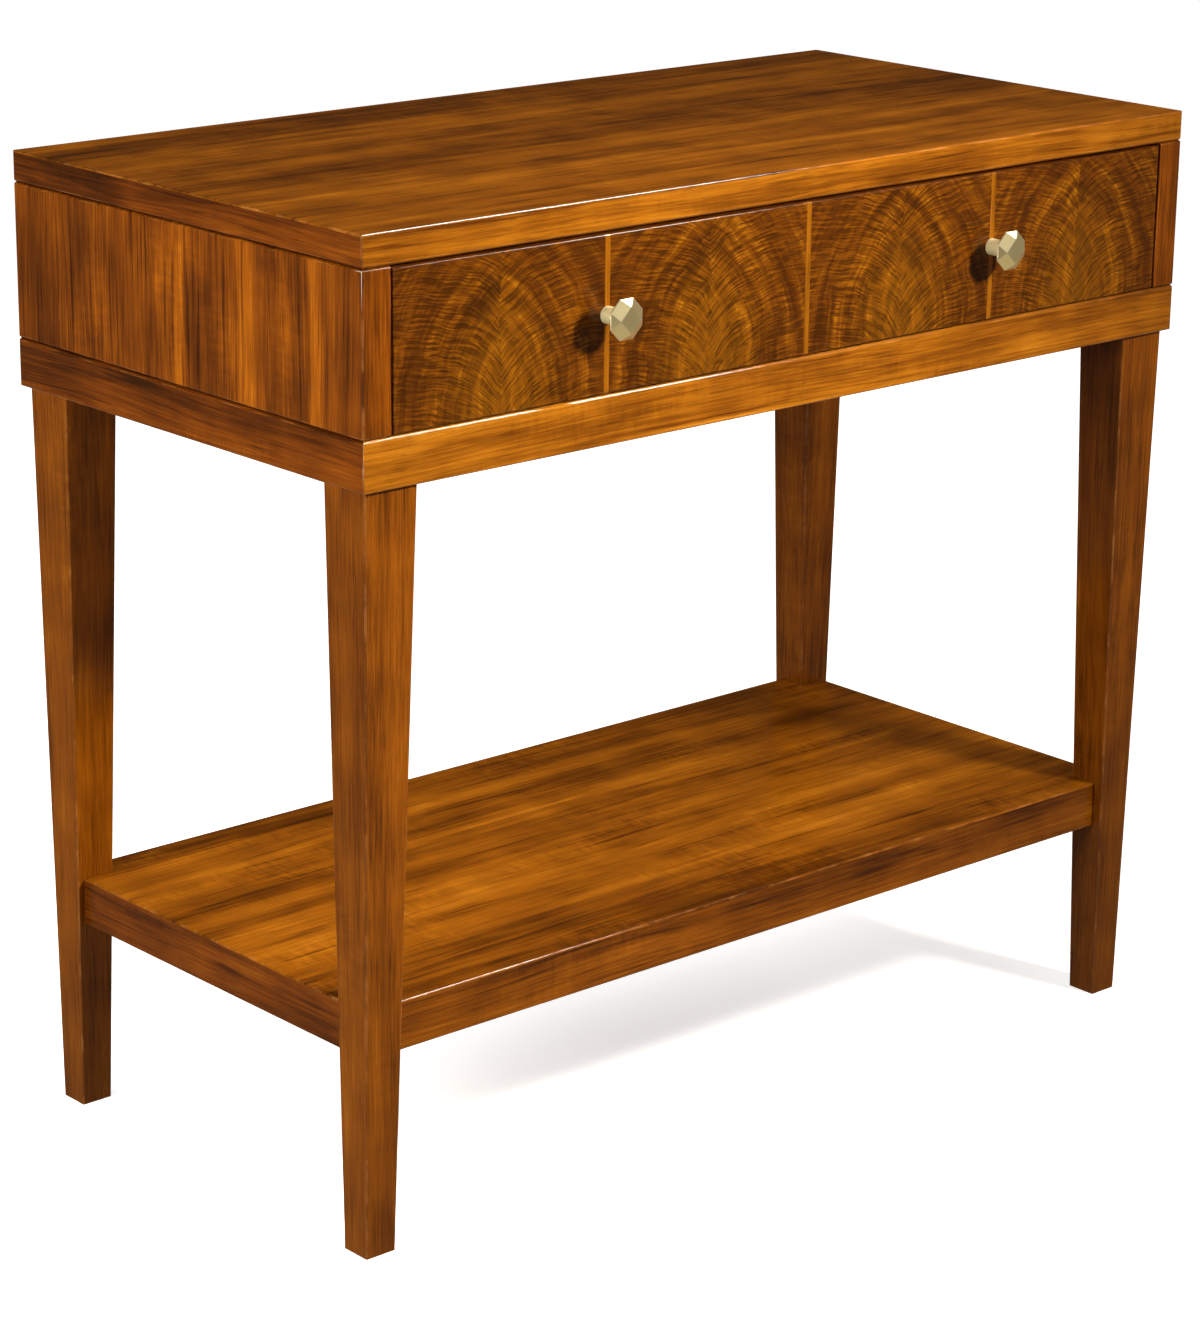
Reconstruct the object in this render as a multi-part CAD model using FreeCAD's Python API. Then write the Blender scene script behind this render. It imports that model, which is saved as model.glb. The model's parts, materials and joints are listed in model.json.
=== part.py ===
import FreeCAD, Part
import math
import os

# Side table with one drawer and a low shelf.
# Millimetres, +Z up, the front faces -Y, and +X is to the right as seen from the front.
# The origin is on the floor, under the middle of the whole outline with its knobs.

# ---- driving dimensions ----
WIDTH = 813.0
DEPTH = 406.0
HEIGHT = 737.0
TOP_THICKNESS = 23.0
CASE_HEIGHT = 115.0
BASE_HEIGHT = 36.0
KNOB_PROJECTION = 25.0

LEG_TOP_SIZE = 45.0
LEG_FOOT_SIZE = 26.0
LEG_TOP_INSET = 5.4
LEG_FOOT_INSET_X = 9.0
LEG_FOOT_INSET_Y = 14.0
TENON_SIZE = 26.0
TENON_LENGTH = 22.0

SHELF_TOP_HEIGHT = 186.0
SHELF_THICKNESS = 37.0
SHELF_WIDTH = 785.0
SHELF_DEPTH = 367.0

VENEER = 1.5
TOP_LIPPING = 12.0
SHELF_LIPPING = 9.0
ARRIS = 0.9
REVEAL = 1.6

SIDE_THICKNESS = 24.0
STILE_DEPTH = 18.0
BACK_THICKNESS = 16.0
TONGUE_THICKNESS = 6.0
TONGUE_LENGTH = 8.0
BASE_RAIL_WIDTH = 60.0
CASE_BOTTOM_THICKNESS = 6.0
CASE_BOTTOM_REBATE = 10.0
CORNER_BLOCK_LEG = 36.0
CORNER_BLOCK_HEIGHT = 18.0

DRAWER_GAP_SIDE = 1.6
DRAWER_GAP_TOP = 2.3
DRAWER_GAP_BOTTOM = 1.0
DRAWER_LENGTH = 380.0
DRAWER_FRONT_THICKNESS = 20.0
DRAWER_SIDE_THICKNESS = 12.0
DRAWER_BOTTOM_THICKNESS = 5.0
DRAWER_BOTTOM_RISE = 8.0
GROOVE_DEPTH = 5.0
RUNNING_GAP = 0.3
KICKER_GAP = 1.0
BEHIND_FRONT_GAP = 1.5
RUNNER_THICKNESS = 3.0
RUNNER_WIDTH = 14.0
KICKER_WIDTH = 20.0
KICKER_HEIGHT = 12.5
STOP_WIDTH = 28.0
STOP_HEIGHT = 22.0
TAIL_COUNT = 3
FRONT_TAIL_LENGTH = 13.0
TAIL_ROOT = 20.0
TAIL_END = 25.0

INLAY_WIDTH = 4.5
INLAY_DEPTH = 3.0
INLAY_SPACING = 193.0

KNOB_STEM_DIAMETER = 12.5
KNOB_STEM_LENGTH = 12.0
KNOB_RIM_DISTANCE = 20.0
KNOB_RIM_THICKNESS = 1.0
KNOB_ACROSS_FLATS = 29.0
KNOB_FACE_DIAGONAL = 19.0
KNOB_SCREW_DIAMETER = 3.4
KNOB_SCREW_DEPTH = 10.0
KNOB_SCREW_HEAD_DIAMETER = 6.8
KNOB_SCREW_HEAD_HEIGHT = 2.4

DOWEL_DIAMETER = 8.0
DOWEL_REACH = 15.0
SIDE_DOWEL_SPACING = 127.0
BACK_DOWEL_OFFSET = 163.0
SHELF_DOWEL_REACH = 18.0
SHELF_DOWEL_INSET = 33.0
LEG_SCREW_DIAMETER = 5.0
LEG_SCREW_LENGTH = 50.0
TOP_SCREW_DIAMETER = 4.0
TOP_SCREW_LENGTH = 25.0
TOP_SCREW_OFFSET = 116.0
SMALL_SCREW_DIAMETER = 3.0
SMALL_SCREW_LENGTH = 16.0
SMALL_SCREW_SPACING = 203.0

TOLERANCE = 1e-6

# ---- derived positions ----
X_RIGHT = WIDTH / 2
X_LEFT = -X_RIGHT
Y_FRONT = (KNOB_PROJECTION - DEPTH) / 2
Y_BACK = Y_FRONT + DEPTH
Z_TOP_UNDERSIDE = HEIGHT - TOP_THICKNESS
Z_BASE_TOP = Z_TOP_UNDERSIDE - CASE_HEIGHT
LEG_LENGTH = Z_BASE_TOP - BASE_HEIGHT
Y_MIDDLE = (Y_FRONT + Y_BACK) / 2
SIDES = ("front", "back", "left", "right")
CORNERS = {"front_left": (-1, -1), "front_right": (1, -1), "back_left": (-1, 1), "back_right": (1, 1)}

DRAWER_HALF_WIDTH = X_RIGHT - SIDE_THICKNESS - DRAWER_GAP_SIDE
DRAWER_FRONT_BOTTOM = Z_BASE_TOP + DRAWER_GAP_BOTTOM
DRAWER_FRONT_TOP = Z_TOP_UNDERSIDE - DRAWER_GAP_TOP
DRAWER_BOX_BOTTOM = Z_BASE_TOP + RUNNER_THICKNESS + RUNNING_GAP
DRAWER_BOX_TOP = Z_TOP_UNDERSIDE - KICKER_HEIGHT - KICKER_GAP
Y_FRONT_REAR = Y_FRONT + DRAWER_FRONT_THICKNESS
Y_BATTEN_START = Y_FRONT_REAR + BEHIND_FRONT_GAP
Y_DRAWER_END = Y_FRONT + DRAWER_LENGTH
KNOB_HEIGHT = (DRAWER_FRONT_BOTTOM + DRAWER_FRONT_TOP) / 2


# ---- shape helpers ----
def block(x0, x1, y0, y1, z0, z1):
    """A rectangular board between two corners."""
    return Part.makeBox(x1 - x0, y1 - y0, z1 - z0, FreeCAD.Vector(x0, y0, z0))


def prism(outline, z0, z1):
    """A flat outline in XY raised between two heights."""
    face = facet([FreeCAD.Vector(x, y, z0) for x, y in outline])
    return face.extrude(FreeCAD.Vector(0, 0, z1 - z0))


def edges_where(shape, test):
    """The straight edges whose two ends both pass the test."""
    chosen = []
    for edge in shape.Edges:
        if all(test(vertex.Point) for vertex in edge.Vertexes):
            chosen.append(edge)
    return chosen


def at_height(z):
    """A test for points at one height."""
    return lambda point: abs(point.z - z) < TOLERANCE


def eased_board(x0, x1, y0, y1, z0, z1, upper=0.0, lower=0.0):
    """A board with its upright corners eased, and its upper and lower edges chamfered."""
    corners = ((x0, 1, y0, 1), (x1, -1, y0, 1), (x1, -1, y1, -1), (x0, 1, y1, -1))
    outline = []
    for index, (x, inward_x, y, inward_y) in enumerate(corners):
        along_x = (x + inward_x * ARRIS, y)
        along_y = (x, y + inward_y * ARRIS)
        outline += [along_y, along_x] if index % 2 == 0 else [along_x, along_y]
    board = block(x0, x1, y0, y1, z0, z1)
    if upper:
        board = board.makeChamfer(upper, edges_where(board, at_height(z1)))
    if lower:
        board = board.makeChamfer(lower, edges_where(board, at_height(z0)))
    return board.common(prism(outline, z0, z1))


def mitred_side(side, x0, x1, y0, y1, width, z0, z1):
    """One side of a rectangular frame, cut at 45 degrees at both ends."""
    inner_x0, inner_x1 = x0 + width, x1 - width
    inner_y0, inner_y1 = y0 + width, y1 - width
    outlines = {
        "front": [(x0, y0), (x1, y0), (inner_x1, inner_y0), (inner_x0, inner_y0)],
        "back": [(x1, y1), (x0, y1), (inner_x0, inner_y1), (inner_x1, inner_y1)],
        "left": [(x0, y1), (x0, y0), (inner_x0, inner_y0), (inner_x0, inner_y1)],
        "right": [(x1, y0), (x1, y1), (inner_x1, inner_y1), (inner_x1, inner_y0)],
    }
    return prism(outlines[side], z0, z1)


def facet(points):
    """A flat face through its corners."""
    return Part.Face(Part.makePolygon(points + points[:1]))


def bands(rings):
    """Four-cornered faces between each ring of points and the next."""
    faces = []
    for ring_a, ring_b in zip(rings[:-1], rings[1:]):
        for index in range(len(ring_a)):
            following = (index + 1) % len(ring_a)
            faces.append(facet([ring_a[index], ring_a[following], ring_b[following], ring_b[index]]))
    return faces


def faceted_solid(rings):
    """A solid with flat faces, closed at its first and last ring of points."""
    faces = [facet(rings[0]), facet(rings[-1])] + bands(rings)
    return Part.makeSolid(Part.makeShell(faces))


def rod(diameter, start, direction, length):
    """A round rod."""
    return Part.makeCylinder(diameter / 2, length, FreeCAD.Vector(*start), FreeCAD.Vector(*direction))


def countersunk_screw(diameter, start, direction, length):
    """A screw with a flat countersunk head twice its shank's diameter, flush at its start."""
    head_height = diameter / 2
    axis = FreeCAD.Vector(*direction)
    head = Part.makeCone(diameter, diameter / 2, head_height, FreeCAD.Vector(*start), axis)
    return head.fuse(rod(diameter, start, direction, length)).removeSplitter()


def mirrored(shape):
    """The shape's mirror image across the middle plane X = 0."""
    return shape.mirror(FreeCAD.Vector(0, 0, 0), FreeCAD.Vector(1, 0, 0))


def both_ways(shapes):
    """The shapes with their mirror images across the middle plane X = 0."""
    return shapes + [mirrored(shape) for shape in shapes]


# ---- fasteners and dowels ----
def case_dowels():
    """Dowels that pin the sides and the back to the base frame."""
    x_side = X_RIGHT - SIDE_THICKNESS / 2
    y_back = Y_BACK - BACK_THICKNESS / 2
    start_z = Z_BASE_TOP - DOWEL_REACH
    spots = [(x_side, Y_MIDDLE + step * SIDE_DOWEL_SPACING) for step in (-1, 0, 1)]
    spots.append((BACK_DOWEL_OFFSET, y_back))
    dowels = [rod(DOWEL_DIAMETER, (x, y, start_z), (0, 0, 1), 2 * DOWEL_REACH) for x, y in spots]
    return both_ways(dowels)


def shelf_dowels():
    """Dowels that pin the shelf to the four legs."""
    z = SHELF_TOP_HEIGHT - SHELF_THICKNESS / 2
    notch_x = X_RIGHT - leg_span_at(z)[0][1]
    dowels = []
    for y in (Y_FRONT + SHELF_DOWEL_INSET, Y_BACK - SHELF_DOWEL_INSET):
        start = (notch_x - SHELF_DOWEL_REACH, y, z)
        dowels.append(rod(DOWEL_DIAMETER, start, (1, 0, 0), 2 * SHELF_DOWEL_REACH))
    return both_ways(dowels)


def leg_screws():
    """One screw down through each corner of the base frame into the leg's tenon."""
    inset = LEG_TOP_INSET + LEG_TOP_SIZE / 2
    screws = []
    for y in (Y_FRONT + inset, Y_BACK - inset):
        start = (X_RIGHT - inset, y, Z_BASE_TOP)
        screws.append(countersunk_screw(LEG_SCREW_DIAMETER, start, (0, 0, -1), LEG_SCREW_LENGTH))
    return both_ways(screws)


def top_screws():
    """Screws up through the kickers into the top."""
    x = X_RIGHT - SIDE_THICKNESS - KICKER_WIDTH / 2
    z = Z_TOP_UNDERSIDE - KICKER_HEIGHT
    screws = []
    for y in (Y_MIDDLE - TOP_SCREW_OFFSET, Y_MIDDLE + TOP_SCREW_OFFSET):
        screws.append(countersunk_screw(TOP_SCREW_DIAMETER, (x, y, z), (0, 0, 1), TOP_SCREW_LENGTH))
    return both_ways(screws)


def drawer_bottom_screws():
    """Screws up through the drawer's bottom into the lower edge of its back."""
    y = Y_DRAWER_END - DRAWER_SIDE_THICKNESS / 2
    z = DRAWER_BOX_BOTTOM + DRAWER_BOTTOM_RISE
    screws = []
    for x in (-SMALL_SCREW_SPACING, 0, SMALL_SCREW_SPACING):
        screws.append(countersunk_screw(SMALL_SCREW_DIAMETER, (x, y, z), (0, 0, 1), SMALL_SCREW_LENGTH))
    return screws


def knob_screws():
    """Round-headed screws from inside the drawer into the knobs."""
    start = (INLAY_SPACING, Y_FRONT_REAR, KNOB_HEIGHT)
    length = DRAWER_FRONT_THICKNESS + KNOB_SCREW_DEPTH
    shank = rod(KNOB_SCREW_DIAMETER, start, (0, -1, 0), length)
    head = rod(KNOB_SCREW_HEAD_DIAMETER, start, (0, 1, 0), KNOB_SCREW_HEAD_HEIGHT)
    return both_ways([shank.fuse(head).removeSplitter()])


# ---- legs and shelf ----
def leg_span_at(z):
    """How far in the leg starts and ends at a height, as (near, far) from the sides and the ends."""
    share = z / LEG_LENGTH
    size = LEG_FOOT_SIZE + (LEG_TOP_SIZE - LEG_FOOT_SIZE) * share
    near_x = LEG_FOOT_INSET_X + (LEG_TOP_INSET - LEG_FOOT_INSET_X) * share
    near_y = LEG_FOOT_INSET_Y + (LEG_TOP_INSET - LEG_FOOT_INSET_Y) * share
    return (near_x, near_x + size), (near_y, near_y + size)


def leg_section(z):
    """The back right leg's outline at one height, its four corners eased."""
    (near_x, far_x), (near_y, far_y) = leg_span_at(z)
    x0, x1 = X_RIGHT - far_x, X_RIGHT - near_x
    y0, y1 = DEPTH / 2 - far_y, DEPTH / 2 - near_y
    outline = [
        (x0 + ARRIS, y0), (x1 - ARRIS, y0), (x1, y0 + ARRIS), (x1, y1 - ARRIS),
        (x1 - ARRIS, y1), (x0 + ARRIS, y1), (x0, y1 - ARRIS), (x0, y0 + ARRIS),
    ]
    return [FreeCAD.Vector(x, y, z) for x, y in outline]


def leg_tenon():
    """The square tenon on top of the back right leg."""
    centre_inset = LEG_TOP_INSET + LEG_TOP_SIZE / 2
    x = X_RIGHT - centre_inset
    y = DEPTH / 2 - centre_inset
    half = TENON_SIZE / 2
    return block(x - half, x + half, y - half, y + half, LEG_LENGTH, LEG_LENGTH + TENON_LENGTH)


def to_corner(shape, corner):
    """The back right leg's shape moved to a corner of the table."""
    direction_x, direction_y = CORNERS[corner]
    if direction_x < 0:
        shape = mirrored(shape)
    if direction_y < 0:
        shape = shape.mirror(FreeCAD.Vector(0, 0, 0), FreeCAD.Vector(0, 1, 0))
    shape.translate(FreeCAD.Vector(0, Y_MIDDLE, 0))
    return shape


def leg_blank(corner):
    """A tapered leg with its tenon, before it is bored."""
    shaft = faceted_solid([leg_section(0), leg_section(LEG_LENGTH)])
    return to_corner(shaft.fuse(leg_tenon()).removeSplitter(), corner)


def leg(corner):
    """A tapered leg, bored for its screw and its shelf dowel."""
    return leg_blank(corner).cut(leg_screws() + shelf_dowels())


def all_legs():
    """The four legs, as cutting tools for what fits round them."""
    return [leg_blank(corner) for corner in CORNERS]


def shelf_limits():
    """The shelf's outline in plan."""
    return (-SHELF_WIDTH / 2, SHELF_WIDTH / 2, Y_MIDDLE - SHELF_DEPTH / 2, Y_MIDDLE + SHELF_DEPTH / 2)


def shelf_heights():
    """The shelf's underside, the underside of its veneer and its top."""
    return SHELF_TOP_HEIGHT - SHELF_THICKNESS, SHELF_TOP_HEIGHT - VENEER, SHELF_TOP_HEIGHT


def shelf_veneer():
    """The shelf's top veneer, notched round the legs."""
    _, under, upper = shelf_heights()
    return eased_board(*shelf_limits(), under, upper, upper=ARRIS).cut(all_legs())


def shelf_core():
    """The shelf's core inside its lippings."""
    x0, x1, y0, y1 = shelf_limits()
    lower, under, _ = shelf_heights()
    inset = SHELF_LIPPING
    core = block(x0 + inset, x1 - inset, y0 + inset, y1 - inset, lower, under)
    return core.cut(all_legs() + shelf_dowels())


def shelf_lipping(side):
    """One solid edge of the shelf, between two legs."""
    lower, under, _ = shelf_heights()
    strip = mitred_side(side, *shelf_limits(), SHELF_LIPPING, lower, under)
    strip = strip.common(eased_board(*shelf_limits(), lower, under, lower=ARRIS))
    return strip.cut(all_legs() + shelf_dowels())


# ---- top ----
def top_veneer():
    """The top's veneer, over the core and the lippings."""
    return eased_board(X_LEFT, X_RIGHT, Y_FRONT, Y_BACK, HEIGHT - VENEER, HEIGHT, upper=ARRIS)


def top_core():
    """The top's core inside its lippings."""
    inset = TOP_LIPPING
    x1 = X_RIGHT - inset
    core = block(-x1, x1, Y_FRONT + inset, Y_BACK - inset, Z_TOP_UNDERSIDE, HEIGHT - VENEER)
    return core.cut(top_screws())


def top_lipping(side):
    """One mitred solid edge of the top, with a reveal along its lower edge."""
    limits = (X_LEFT, X_RIGHT, Y_FRONT, Y_BACK)
    heights = (Z_TOP_UNDERSIDE, HEIGHT - VENEER)
    strip = mitred_side(side, *limits, TOP_LIPPING, *heights)
    return strip.common(eased_board(*limits, *heights, lower=REVEAL))


# ---- case ----
def case_envelope():
    """The case's outer form, with a reveal along its upper and lower edges."""
    limits = (X_LEFT, X_RIGHT, Y_FRONT, Y_BACK)
    return eased_board(*limits, Z_BASE_TOP, Z_TOP_UNDERSIDE, upper=REVEAL, lower=REVEAL)


def centred_tongue(x0, x1, y0, y1):
    """A tongue over the case's full height less its reveals."""
    return block(x0, x1, y0, y1, Z_BASE_TOP + REVEAL, Z_TOP_UNDERSIDE - REVEAL)


def stile_tongue():
    """The right side panel's tongue that enters the front stile."""
    x = X_RIGHT - SIDE_THICKNESS / 2
    y = Y_FRONT + STILE_DEPTH
    return centred_tongue(x - TONGUE_THICKNESS / 2, x + TONGUE_THICKNESS / 2, y - TONGUE_LENGTH, y)


def back_tongue():
    """The back panel's tongue that enters the right side panel."""
    x = X_RIGHT - SIDE_THICKNESS
    y = Y_BACK - BACK_THICKNESS / 2
    return centred_tongue(x, x + TONGUE_LENGTH, y - TONGUE_THICKNESS / 2, y + TONGUE_THICKNESS / 2)


def right_side_panel():
    """The right side panel behind its stile."""
    x0 = X_RIGHT - SIDE_THICKNESS
    board = block(x0, X_RIGHT, Y_FRONT + STILE_DEPTH, Y_BACK, Z_BASE_TOP, Z_TOP_UNDERSIDE)
    board = board.common(case_envelope()).fuse(stile_tongue()).removeSplitter()
    return board.cut([back_tongue()] + case_dowels())


def right_stile():
    """The right front stile."""
    x0 = X_RIGHT - SIDE_THICKNESS
    board = block(x0, X_RIGHT, Y_FRONT, Y_FRONT + STILE_DEPTH, Z_BASE_TOP, Z_TOP_UNDERSIDE)
    return board.common(case_envelope()).cut(stile_tongue())


def back_panel():
    """The back panel between the sides."""
    half = X_RIGHT - SIDE_THICKNESS
    board = block(-half, half, Y_BACK - BACK_THICKNESS, Y_BACK, Z_BASE_TOP, Z_TOP_UNDERSIDE)
    board = board.common(case_envelope())
    for tongue in both_ways([back_tongue()]):
        board = board.fuse(tongue)
    return board.removeSplitter().cut(case_dowels())


def case_bottom():
    """The dust panel let into the base frame."""
    inset = BASE_RAIL_WIDTH - CASE_BOTTOM_REBATE
    z0 = Z_BASE_TOP - CASE_BOTTOM_THICKNESS
    return block(X_LEFT + inset, X_RIGHT - inset, Y_FRONT + inset, Y_BACK - inset, z0, Z_BASE_TOP)


def base_rail(side):
    """One mitred rail of the base frame, mortised for the legs."""
    limits = (X_LEFT, X_RIGHT, Y_FRONT, Y_BACK)
    heights = (LEG_LENGTH, Z_BASE_TOP)
    rail = mitred_side(side, *limits, BASE_RAIL_WIDTH, *heights)
    rail = rail.common(eased_board(*limits, *heights, upper=REVEAL, lower=ARRIS))
    mortises = [to_corner(leg_tenon(), corner) for corner in CORNERS]
    return rail.cut(mortises + [case_bottom()] + leg_screws() + case_dowels())


def base_corner_blocks():
    """Triangular blocks in the inner corners of the base frame."""
    x = X_RIGHT - BASE_RAIL_WIDTH
    z1 = Z_BASE_TOP - CASE_BOTTOM_THICKNESS
    z0 = z1 - CORNER_BLOCK_HEIGHT
    blocks = []
    for y, inward in ((Y_FRONT + BASE_RAIL_WIDTH, 1), (Y_BACK - BASE_RAIL_WIDTH, -1)):
        outline = [(x, y), (x - CORNER_BLOCK_LEG, y), (x, y + inward * CORNER_BLOCK_LEG)]
        blocks.append(prism(outline, z0, z1))
    return both_ways(blocks)


def runner():
    """The right wear strip that the drawer's side slides on."""
    x1 = DRAWER_HALF_WIDTH
    y1 = Y_BACK - BACK_THICKNESS
    z1 = Z_BASE_TOP + RUNNER_THICKNESS
    return block(x1 - RUNNER_WIDTH, x1, Y_BATTEN_START, y1, Z_BASE_TOP, z1)


def kicker():
    """The right batten under the top that keeps the open drawer level."""
    x1 = X_RIGHT - SIDE_THICKNESS
    y1 = Y_BACK - BACK_THICKNESS
    z0 = Z_TOP_UNDERSIDE - KICKER_HEIGHT
    batten = block(x1 - KICKER_WIDTH, x1, Y_BATTEN_START, y1, z0, Z_TOP_UNDERSIDE)
    return batten.cut(top_screws())


def drawer_stops():
    """Blocks on the back panel that the drawer's sides meet when it is shut."""
    x1 = DRAWER_HALF_WIDTH
    z0 = Z_BASE_TOP + RUNNER_THICKNESS
    y0 = Y_DRAWER_END + RUNNING_GAP
    stop = block(x1 - STOP_WIDTH, x1, y0, Y_BACK - BACK_THICKNESS, z0, z0 + STOP_HEIGHT)
    return both_ways([stop])


# ---- drawer ----
def tails(y_root, y_end):
    """The dovetails of the right drawer side, as prisms across its thickness."""
    x0 = DRAWER_HALF_WIDTH - DRAWER_SIDE_THICKNESS
    pitch = (DRAWER_BOX_TOP - DRAWER_BOX_BOTTOM) / TAIL_COUNT
    shapes = []
    for index in range(TAIL_COUNT):
        z = DRAWER_BOX_BOTTOM + (index + 0.5) * pitch
        outline = [
            (y_root, z - TAIL_ROOT / 2), (y_end, z - TAIL_END / 2),
            (y_end, z + TAIL_END / 2), (y_root, z + TAIL_ROOT / 2),
        ]
        face = facet([FreeCAD.Vector(x0, y, z_point) for y, z_point in outline])
        shapes.append(face.extrude(FreeCAD.Vector(DRAWER_SIDE_THICKNESS, 0, 0)))
    return shapes


def drawer_bottom_blank():
    """The drawer's bottom in its grooves in the front and the sides."""
    half = DRAWER_HALF_WIDTH - DRAWER_SIDE_THICKNESS + GROOVE_DEPTH
    z0 = DRAWER_BOX_BOTTOM + DRAWER_BOTTOM_RISE
    y0 = Y_FRONT_REAR - GROOVE_DEPTH
    return block(-half, half, y0, Y_DRAWER_END, z0, z0 + DRAWER_BOTTOM_THICKNESS)


def drawer_bottom():
    """The drawer's bottom, drilled for its screws."""
    return drawer_bottom_blank().cut(drawer_bottom_screws())


def drawer_side_blank():
    """The right drawer side with its dovetails."""
    x1 = DRAWER_HALF_WIDTH
    x0 = x1 - DRAWER_SIDE_THICKNESS
    y_back_root = Y_DRAWER_END - DRAWER_SIDE_THICKNESS
    board = block(x0, x1, Y_FRONT_REAR, y_back_root, DRAWER_BOX_BOTTOM, DRAWER_BOX_TOP)
    joints = tails(Y_FRONT_REAR, Y_FRONT_REAR - FRONT_TAIL_LENGTH) + tails(y_back_root, Y_DRAWER_END)
    for tail in joints:
        board = board.fuse(tail)
    return board.removeSplitter()


def drawer_side():
    """The right drawer side, grooved for the bottom."""
    return drawer_side_blank().cut(drawer_bottom_blank())


def drawer_front_layer():
    """The space that the veneers fill."""
    half = DRAWER_HALF_WIDTH
    return block(-half, half, Y_FRONT, Y_FRONT + VENEER, DRAWER_FRONT_BOTTOM, DRAWER_FRONT_TOP)


def drawer_front_face():
    """The layer of the drawer's front that carries the veneers, its outer edges eased."""
    layer = drawer_front_layer()
    return layer.makeChamfer(ARRIS, edges_where(layer, lambda point: abs(point.y - Y_FRONT) < TOLERANCE))


def inlay_blank(x):
    """The strip of wood at one inlay line."""
    half = INLAY_WIDTH / 2
    y1 = Y_FRONT + INLAY_DEPTH
    return block(x - half, x + half, Y_FRONT, y1, DRAWER_FRONT_BOTTOM, DRAWER_FRONT_TOP)


def inlay(x):
    """One upright inlay string of the drawer's front."""
    strip = inlay_blank(x)
    in_veneer = strip.common(drawer_front_face())
    in_core = strip.cut(drawer_front_layer())
    return in_veneer.fuse(in_core).removeSplitter().cut(knob_screws())


def drawer_veneer(x0, x1):
    """One panel of crotch veneer between two inlay strings."""
    width = block(x0, x1, Y_FRONT, Y_FRONT + VENEER, DRAWER_FRONT_BOTTOM, DRAWER_FRONT_TOP)
    panel = drawer_front_face().common(width)
    return panel.cut(knob_screws())


def drawer_front_core():
    """The core of the drawer's front, grooved, dovetailed and bored."""
    core = block(-DRAWER_HALF_WIDTH, DRAWER_HALF_WIDTH, Y_FRONT + VENEER, Y_FRONT_REAR,
                 DRAWER_FRONT_BOTTOM, DRAWER_FRONT_TOP)
    tools = [inlay_blank(x) for x in (-INLAY_SPACING, 0, INLAY_SPACING)]
    tools += both_ways(tails(Y_FRONT_REAR, Y_FRONT_REAR - FRONT_TAIL_LENGTH))
    tools += [drawer_bottom_blank()] + knob_screws()
    return core.cut(tools)


def drawer_back():
    """The drawer's back, standing on the drawer's bottom."""
    z0 = DRAWER_BOX_BOTTOM + DRAWER_BOTTOM_RISE + DRAWER_BOTTOM_THICKNESS
    y0 = Y_DRAWER_END - DRAWER_SIDE_THICKNESS
    board = block(-DRAWER_HALF_WIDTH, DRAWER_HALF_WIDTH, y0, Y_DRAWER_END, z0, DRAWER_BOX_TOP)
    return board.cut(both_ways([drawer_side_blank()]) + drawer_bottom_screws())


# ---- knobs ----
def ring(radius, count, start_angle, y):
    """Points evenly spaced round the right knob's axis, at one depth."""
    points = []
    for index in range(count):
        angle = start_angle + index * 2 * math.pi / count
        x = INLAY_SPACING + radius * math.cos(angle)
        points.append(FreeCAD.Vector(x, y, KNOB_HEIGHT + radius * math.sin(angle)))
    return points


def knob_gem():
    """The knob's faceted head: an eight-sided rim under a square face set corner up."""
    eighth = math.pi / 8
    rim_radius = KNOB_ACROSS_FLATS / 2 / math.cos(eighth)
    y_face = Y_FRONT - KNOB_PROJECTION
    y_rim = Y_FRONT - KNOB_RIM_DISTANCE
    y_rim_back = y_rim + KNOB_RIM_THICKNESS
    y_neck = Y_FRONT - KNOB_STEM_LENGTH
    rim = ring(rim_radius, 8, eighth, y_rim)
    rim_back = ring(rim_radius, 8, eighth, y_rim_back)
    neck = ring(KNOB_STEM_DIAMETER / 2, 8, eighth, y_neck)
    square = ring(KNOB_FACE_DIAGONAL / 2, 4, 0, y_face)
    faces = [facet(square), facet(neck)] + bands([rim, rim_back, neck])
    for quarter in range(4):
        following = (quarter + 1) % 4
        first, second, third = (rim[(2 * quarter + step) % 8] for step in range(3))
        faces.append(facet([first, second, square[following], square[quarter]]))
        faces.append(facet([second, third, square[following]]))
    return Part.makeSolid(Part.makeShell(faces))


def knob():
    """The right knob: a round stem and a faceted head, tapped for its screw."""
    seat = (INLAY_SPACING, Y_FRONT, KNOB_HEIGHT)
    stem = rod(KNOB_STEM_DIAMETER, seat, (0, -1, 0), KNOB_STEM_LENGTH)
    return stem.fuse(knob_gem()).cut(knob_screws())


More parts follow.
